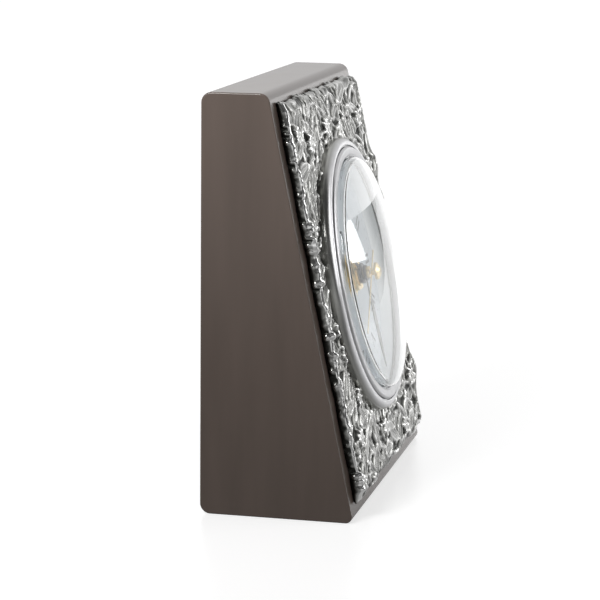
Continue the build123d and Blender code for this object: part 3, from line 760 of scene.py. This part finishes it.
# The bright steel carries a painted reflection and shade: a darker band on the bezel's outer wall
steel = shaded_by_height(finish(
    "bright_steel", (0.45, 0.45, 0.46), (0.51, 0.51, 0.52), 260.0, (0.26, 0.32), metallic=1.0, grain=0.01,
), wall_shade_low, wall_shade_high, wall_shade_tones)
satin = finish(
    "satin_steel", (0.41, 0.41, 0.42), (0.47, 0.47, 0.48), 260.0, (0.28, 0.34), metallic=1.0, grain=0.01,
)
rubber = finish("black_rubber", (0.018, 0.018, 0.018), (0.03, 0.03, 0.03), 700.0, (0.55, 0.75), grain=0.4)
white = finish("white_dial", (0.66, 0.69, 0.735), (0.70, 0.73, 0.775), 220.0, (0.32, 0.42), grain=0.06)
silvered = finish(
    "silver_plastic", (0.80, 0.82, 0.83), (0.86, 0.88, 0.89), 300.0, (0.40, 0.48), metallic=1.0, grain=0.05,
)
dark = finish("dark_plastic", (0.022, 0.022, 0.024), (0.036, 0.036, 0.039), 900.0, (0.42, 0.56), grain=0.5)
pale = finish("pale_plastic", (0.74, 0.72, 0.66), (0.82, 0.80, 0.74), 400.0, (0.3, 0.4), grain=0.1)
black = finish("hand_black", (0.012, 0.012, 0.014), (0.022, 0.022, 0.025), 800.0, (0.25, 0.35), grain=0.05)
ink = finish("dial_ink", (0.10, 0.105, 0.12), (0.16, 0.165, 0.18), 900.0, (0.35, 0.5))
brass = finish(
    "gilt_brass", (0.72, 0.53, 0.25), (0.82, 0.64, 0.34), 500.0, (0.16, 0.26), metallic=1.0, grain=0.05,
)
plain = finish(
    "plain_steel", (0.46, 0.46, 0.47), (0.58, 0.58, 0.59), 350.0, (0.28, 0.42), metallic=1.0, grain=0.2,
    stretch=(1.0, 1.0, 12.0),
)
iron = finish("magnet", (0.07, 0.07, 0.075), (0.12, 0.12, 0.125), 900.0, (0.5, 0.65), metallic=0.7, grain=0.4)
copper = finish(
    "copper_wire", (0.42, 0.15, 0.06), (0.66, 0.28, 0.13), 220.0, (0.2, 0.35), metallic=1.0, grain=0.5,
    stretch=(24.0, 1.0, 1.0),
)
green = finish("board_green", (0.012, 0.075, 0.035), (0.02, 0.11, 0.05), 600.0, (0.25, 0.4), grain=0.1)
jacket = finish("cell_jacket", (0.02, 0.022, 0.025), (0.04, 0.043, 0.048), 300.0, (0.22, 0.3), coat=0.4)
looks = {
    "lacquered_wood": wood, "black_board": board, "silver_relief": relief_silver(),
    "bright_steel": steel, "clear_glass": clear_glass(), "black_rubber": rubber, "white_dial": white,
    "silver_plastic": silvered, "dark_plastic": dark, "pale_plastic": pale, "hand_black": black,
    "gilt_brass": brass, "plain_steel": plain, "magnet": iron, "copper_wire": copper,
    "board_green": green, "cell_jacket": jacket,
}
for part in frame["record"]["subparts"]:
    mesh = nodes[part["node"]].data
    mesh.materials.clear()
    mesh.materials.append(looks[part["material_slot"]])
nodes["glass_ring"].data.materials[0] = satin

# Pieces of the scene
plate_low, plate_high = face_extent("relief_plate")
relief = Relief(plate_high[0], (plate_high[1] - plate_low[1]) / 2, (plate_high[1] + plate_low[1]) / 2)
relief.grow()
relief.raise_sides()
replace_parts(relief.build(looks["silver_relief"]), "relief_plate")
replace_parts(domed_glass(looks["clear_glass"]), "glass_dome")
dial_print(ink)


# Studio

def graded(tree, axis, low, high, low_value, high_value):
    """A value that runs from one to another along an axis of the object."""
    place = tree.nodes.new("ShaderNodeTexCoord")
    split = tree.nodes.new("ShaderNodeSeparateXYZ")
    grade = tree.nodes.new("ShaderNodeMapRange")
    grade.inputs["From Min"].default_value = low
    grade.inputs["From Max"].default_value = high
    grade.inputs["To Min"].default_value = low_value
    grade.inputs["To Max"].default_value = high_value
    tree.links.new(place.outputs["Object"], split.inputs["Vector"])
    tree.links.new(split.outputs[axis], grade.inputs["Value"])
    return grade.outputs["Result"]


def shown(tree, plain_strength, shares):
    """A plain strength for the light given, and other strengths for rays that show the background."""
    light_path = tree.nodes.new("ShaderNodeLightPath")
    strength = None
    for ray, share in shares.items():
        part = tree.nodes.new("ShaderNodeMath")
        part.operation = "MULTIPLY"
        tree.links.new(light_path.outputs[ray], part.inputs[0])
        if isinstance(share, float):
            part.inputs[1].default_value = share
        else:
            tree.links.new(share, part.inputs[1])
        most = tree.nodes.new("ShaderNodeMath")
        most.operation = "MAXIMUM"
        most.inputs[1].default_value = plain_strength
        tree.links.new(part.outputs["Value"], most.inputs[0])
        if strength:
            tree.links.new(strength, most.inputs[1])
        strength = most.outputs["Value"]
    return strength


def studio_world():
    """A soft light from all round that is seen as white."""
    world = bpy.data.worlds.new("studio")
    world.use_nodes = True
    tree = world.node_tree
    background = tree.nodes["Background"]
    background.inputs["Color"].default_value = (1.0, 1.0, 1.0, 1.0)
    seen = {"Is Camera Ray": 1.0, "Is Transmission Ray": 1.0, "Is Glossy Ray": 1.0}
    strength = shown(tree, sky_strength, seen)
    tree.links.new(strength, background.inputs["Strength"])
    bpy.context.scene.world = world


def studio_floor():
    """A pale, slightly glossy table that stays white around the object's shadow, with a painted shadow band just
    left of the object in its glow in reflections.
    """
    turns = [2 * pi * corner / floor_corners for corner in range(floor_corners)]
    ring = [(floor_radius * cos(turn), floor_radius * sin(turn), 0.0) for turn in turns]
    mesh = bpy.data.meshes.new("floor")
    mesh.from_pydata(ring, [], [tuple(range(floor_corners))])
    material, tree, main, output = shader("pale_table")
    main.inputs["Base Color"].default_value = floor_colour
    main.inputs["Roughness"].default_value = floor_rough
    main.inputs["Specular IOR Level"].default_value = floor_specular
    glow = tree.nodes.new("ShaderNodeEmission")
    # In reflections the table glows, except for a painted shadow band just left of the object
    across = graded(tree, "X", -floor_span, floor_span, 0.0, 1.0)
    glow_and_shadow = ramp(tree, across, [(place, (value,) * 3) for place, value in floor_mirror_glow_and_shadow])
    seen = {"Is Camera Ray": floor_seen, "Is Transmission Ray": floor_through, "Is Glossy Ray": glow_and_shadow}
    tree.links.new(shown(tree, 0.0, seen), glow.inputs["Strength"])
    both = tree.nodes.new("ShaderNodeAddShader")
    tree.links.new(main.outputs["BSDF"], both.inputs[0])
    tree.links.new(glow.outputs["Emission"], both.inputs[1])
    tree.links.new(both.outputs["Shader"], output.inputs["Surface"])
    mesh.materials.append(material)
    floor = bpy.data.objects.new("floor", mesh)
    bpy.context.scene.collection.objects.link(floor)


def softbox(name, place, target, width, height, power):
    """A rectangular lamp, in metres and watts, that faces a target."""
    lamp = bpy.data.lights.new(name, "AREA")
    lamp.shape = "RECTANGLE"
    lamp.size = width
    lamp.size_y = height
    lamp.energy = power
    item = bpy.data.objects.new(name, lamp)
    bpy.context.scene.collection.objects.link(item)
    item.location = place
    item.rotation_euler = (Vector(target) - Vector(place)).to_track_quat("-Z", "Y").to_euler()


def card(name, corners, material):
    """A card outside the view that only reflections show."""
    mesh = bpy.data.meshes.new(name)
    mesh.from_pydata(corners, [], [tuple(range(len(corners)))])
    mesh.materials.append(material)
    item = bpy.data.objects.new(name, mesh)
    bpy.context.scene.collection.objects.link(item)
    item.visible_camera = False
    item.visible_diffuse = False
    item.visible_shadow = False
    item.visible_transmission = False


def upright(x, outline):
    """Corners of a card that stands square to X."""
    return [(x, y, z) for y, z in outline]


def even_glow(name, strength):
    """A white glow of one strength."""
    material, tree, _, output = shader(name)
    glow = tree.nodes.new("ShaderNodeEmission")
    glow.inputs["Strength"].default_value = strength
    tree.links.new(glow.outputs["Emission"], output.inputs["Surface"])
    return material


def faded_glow(name, low, high, low_value, high_value):
    """A white glow whose strength runs from one side of its card to the other."""
    material = even_glow(name, low_value)
    tree = material.node_tree
    fade = graded(tree, "Y", low, high, low_value, high_value)
    tree.links.new(fade, tree.nodes["Emission"].inputs["Strength"])
    return material


def photo_camera():
    """The camera, placed by its turns to the side, down and about its own line of sight."""
    yaw, pitch, roll = radians(camera_yaw), radians(camera_pitch), radians(camera_roll)
    ahead = Vector((sin(yaw) * cos(pitch), cos(yaw) * cos(pitch), -sin(pitch)))
    right = Vector((cos(yaw), -sin(yaw), 0.0))
    up = right.cross(ahead)
    turned_right = cos(roll) * right + sin(roll) * up
    turned_up = cos(roll) * up - sin(roll) * right
    lens = bpy.data.cameras.new("camera")
    lens.lens = camera_lens
    lens.sensor_width = camera_sensor
    lens.clip_start = camera_near
    camera = bpy.data.objects.new("camera", lens)
    bpy.context.scene.collection.objects.link(camera)
    turned = Matrix((turned_right, turned_up, -ahead)).transposed().to_4x4()
    camera.matrix_world = Matrix.Translation(camera_place) @ turned
    bpy.context.scene.camera = camera


room_cloth = finish("room_cloth", (0.40, 0.40, 0.40), (0.48, 0.48, 0.48), 20.0, (0.8, 0.9))
studio_world()
studio_floor()
softbox("front_box", (0.15, -1.1, 0.60), lamp_target, width=0.9, height=0.8, power=6.5)
softbox("left_box", (-0.25, 0.10, 0.26), (-0.058, 0.0, 0.25), width=0.12, height=0.12, power=1.05)
card("front_card", [(-2.1, -1.7, 0.0), (0.9, -1.7, 0.0), (0.9, -1.7, 1.5), (-2.1, -1.7, 1.5)], room_cloth)
card("left_card", upright(-1.7, [(-1.8, 0.0), (1.4, 0.0), (1.4, 1.5), (-1.8, 1.5)]), room_cloth)
card("top_card", [(-1.8, -1.8, 1.7), (0.4, -1.8, 1.7), (0.4, 0.4, 1.7), (-1.8, 0.4, 1.7)], room_cloth)
card(
    "dim_card", upright(near_right, dim_outline),
    faded_glow("dim_glow", low=-0.265, high=-0.20, low_value=0.95, high_value=0.0),
)
card(
    "bright_card", upright(far_right, bright_outline),
    faded_glow("bright_glow", low=-0.61, high=-0.45, low_value=7.0, high_value=1.0),
)
card("upper_card", upright(near_right, upper_outline), even_glow("upper_glow", strength=1.8))
card(
    "edge_card", [(-1.5, -0.3, 0.0), (-1.1, -1.2, 0.0), (-1.1, -1.2, 0.45), (-1.5, -0.3, 0.45)],
    even_glow("edge_glow", strength=0.6),
)
photo_camera()
bpy.context.scene.view_settings.view_transform = "Standard"
